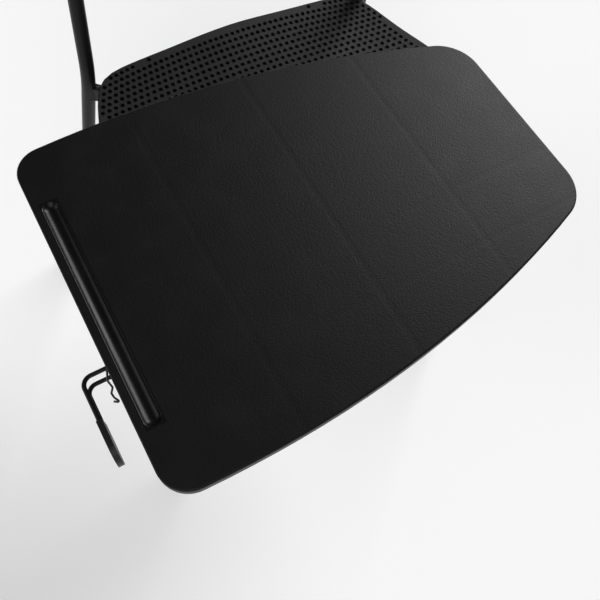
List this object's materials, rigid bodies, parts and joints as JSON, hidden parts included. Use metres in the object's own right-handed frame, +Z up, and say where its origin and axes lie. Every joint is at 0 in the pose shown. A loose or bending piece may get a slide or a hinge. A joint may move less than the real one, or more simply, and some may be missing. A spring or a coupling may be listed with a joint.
{
  "type": "student desk chair",
  "caption": "Tube-framed classroom chair with perforated seat and back shells and a flip-up writing tablet on a side arm.",
  "frame": {"origin": "on the floor, under the middle of the whole chair's box with the tablet down", "axes": "+Z up; the sitter faces -Y; -X is the sitter's right, the side of the tablet's arm"},
  "size_m": [0.6194, 0.6094, 0.804],
  "materials": {
    "frame_steel": "fine black powder coat, semi-matt",
    "shell_plastic": "moulded black polypropylene, fine grain",
    "tablet_plastic": "moulded black plastic with a pebble grain on top",
    "fitting_plastic": "smooth black nylon",
    "foot_rubber": "black, dull",
    "screw_steel": "black zinc",
    "spring_steel": "drawn wire"
  },
  "bodies": {
    "chair": {"back_upright_right": "frame_steel", "back_upright_left": "frame_steel", "foot_rear_right": "foot_rubber", "foot_rear_left": "foot_rubber", "front_leg_right": "frame_steel", "front_leg_left": "frame_steel", "foot_front_right": "foot_rubber", "foot_front_left": "foot_rubber", "upright_cap_right": "fitting_plastic", "upright_cap_left": "fitting_plastic", "seat_rail_front": "frame_steel", "seat_rail_rear": "frame_steel", "back_rail": "frame_steel", "seat_saddle_front_right": "fitting_plastic", "seat_saddle_front_left": "fitting_plastic", "seat_saddle_rear_right": "fitting_plastic", "seat_saddle_rear_left": "fitting_plastic", "seat_screws": "screw_steel", "seat_lug_right": "frame_steel", "seat_lug_left": "frame_steel", "lug_rivets": "screw_steel", "seat_shell": "shell_plastic", "back_spacer_low_right": "fitting_plastic", "back_spacer_low_left": "fitting_plastic", "back_spacer_high_right": "fitting_plastic", "back_spacer_high_left": "fitting_plastic", "back_shell": "shell_plastic", "back_screws": "screw_steel", "arm_tube": "frame_steel", "arm_cap": "fitting_plastic", "arm_gusset": "frame_steel", "stop_ear": "frame_steel", "stop_pad": "foot_rubber"},
    "tablet_flap": {"tablet": "tablet_plastic", "tablet_plate": "frame_steel", "tablet_screws": "screw_steel", "hinge_bush_front": "fitting_plastic", "hinge_bush_rear": "fitting_plastic", "hinge_knuckle_front": "fitting_plastic", "hinge_knuckle_rear": "fitting_plastic", "knuckle_screws": "screw_steel", "lever_spring": "spring_steel", "spring_keeper": "fitting_plastic"},
    "lever": {"lever_collar": "fitting_plastic", "lever_wires": "frame_steel", "lever_grip": "fitting_plastic", "spring_leg": "spring_steel"}
  },
  "joints": [
    {"name": "tablet_flip", "type": "hinge", "parent": "chair", "child": "tablet_flap", "pos_m": [-0.25586, -0.15596, 0.64], "axis": [0, -1, 0], "range_deg": [0, 92]},
    {"name": "lever_squeeze", "type": "hinge", "parent": "tablet_flap", "child": "lever", "pos_m": [-0.25586, -0.19886, 0.64], "axis": [0, 1, 0], "range_deg": [0, 12], "stiffness_Nm_per_rad": 0.06, "springref_deg": -20.05}
  ]
}
